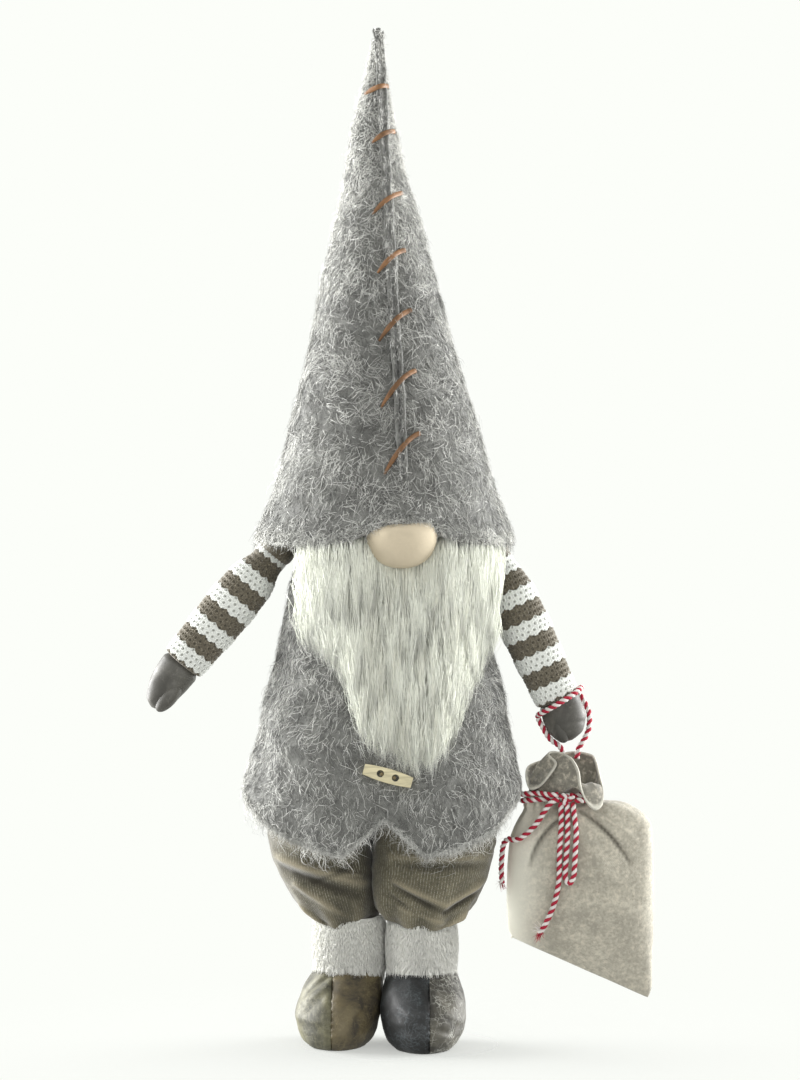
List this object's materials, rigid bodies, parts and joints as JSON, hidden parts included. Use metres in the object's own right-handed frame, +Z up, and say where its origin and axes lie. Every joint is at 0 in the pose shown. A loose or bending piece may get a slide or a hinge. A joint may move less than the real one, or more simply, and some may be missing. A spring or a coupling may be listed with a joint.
{
  "type": "christmas gnome",
  "caption": "Standing stuffed gnome with a tall laced felt hat, long fur beard, striped knit sleeves, a toggled coat, boots, and a linen sack hung from one mitten on twine.",
  "frame": {"origin": "on the floor, under the middle of the whole figure with its sack", "axes": "+Z up, +X towards the sack, -Y the way the gnome looks"},
  "size_m": [0.3478, 0.167, 0.69],
  "materials": {
    "grey_felt": "long-haired felt",
    "ivory_fur": "faux fur",
    "nose_cloth": "smooth velour",
    "tan_lace": "smooth",
    "pale_wood": "bare, sanded",
    "thread": "twisted",
    "stuffing": "loose fibre",
    "knit": "striped chunky knit",
    "steel_wire": "drawn",
    "soft_suede": "soft, slight sheen",
    "trouser_cloth": "fine striped weave",
    "pellets": "bag of pellets",
    "sole_rubber": "flat",
    "olive_leather": "worn, soft",
    "brown_leather": "worn, mottled",
    "grey_leather": "crackled",
    "slate_leather": "worn, soft",
    "linen": "plain weave",
    "twine": "two-ply, one ply white and one ply red"
  },
  "bodies": {
    "torso": {"hat": "grey_felt", "coat": "grey_felt", "beard": "ivory_fur", "nose": "nose_cloth", "toggle_button": "pale_wood", "toggle_thread": "thread", "head_stuffing": "stuffing", "hat_filling": "stuffing", "torso_stuffing": "stuffing", "lace_stitch_1": "tan_lace", "lace_stitch_2": "tan_lace", "lace_stitch_3": "tan_lace", "lace_stitch_4": "tan_lace", "lace_stitch_5": "tan_lace", "lace_stitch_6": "tan_lace", "lace_stitch_7": "tan_lace", "left_shoulder_tab": "stuffing", "left_trouser_leg": "trouser_cloth", "left_fur_cuff": "ivory_fur", "left_ankle_stuffing": "stuffing", "left_leg_dowel": "pale_wood", "left_boot_weight": "pellets", "left_boot_sole": "sole_rubber", "right_shoulder_tab": "stuffing", "right_trouser_leg": "trouser_cloth", "right_fur_cuff": "ivory_fur", "right_ankle_stuffing": "stuffing", "right_leg_dowel": "pale_wood", "right_boot_weight": "pellets", "right_boot_sole": "sole_rubber", "left_boot_outer_panel": "olive_leather", "left_boot_inner_panel": "brown_leather", "right_boot_outer_panel": "grey_leather", "right_boot_inner_panel": "slate_leather"},
    "left_shoulder": {"left_shoulder_ball": "stuffing"},
    "left_arm": {"left_sleeve": "knit", "left_arm_stuffing": "stuffing", "left_arm_wire": "steel_wire", "left_mitten": "soft_suede"},
    "right_shoulder": {"right_shoulder_ball": "stuffing"},
    "right_arm": {"right_sleeve": "knit", "right_arm_stuffing": "stuffing", "right_arm_wire": "steel_wire", "right_mitten": "soft_suede", "carry_loop": "twine"},
    "sack": {"sack_cloth": "linen", "sack_filling": "stuffing", "neck_winding": "twine", "twine_knot": "twine", "bow_loop": "twine", "front_tail": "twine", "side_tail": "twine"}
  },
  "joints": [
    {"name": "left_arm_raise", "type": "hinge", "parent": "torso", "child": "left_shoulder", "pos_m": [-0.0835, 0.015, 0.336], "axis": [0, 1, 0], "range_deg": [-6, 8]},
    {"name": "left_arm_swing", "type": "hinge", "parent": "left_shoulder", "child": "left_arm", "pos_m": [-0.0835, 0.015, 0.336], "axis": [-1, 0, 0], "range_deg": [-15, 40]},
    {"name": "right_arm_raise", "type": "hinge", "parent": "torso", "child": "right_shoulder", "pos_m": [0.0615, 0.015, 0.336], "axis": [0, -1, 0], "range_deg": [0, 8]},
    {"name": "right_arm_swing", "type": "hinge", "parent": "right_shoulder", "child": "right_arm", "pos_m": [0.0615, 0.015, 0.336], "axis": [-1, 0, 0], "range_deg": [-15, 40]},
    {"name": "sack_swing", "type": "hinge", "parent": "right_arm", "child": "sack", "pos_m": [0.1175, 0.017, 0.2], "axis": [1, 0, 0], "range_deg": [-38, 25]}
  ]
}
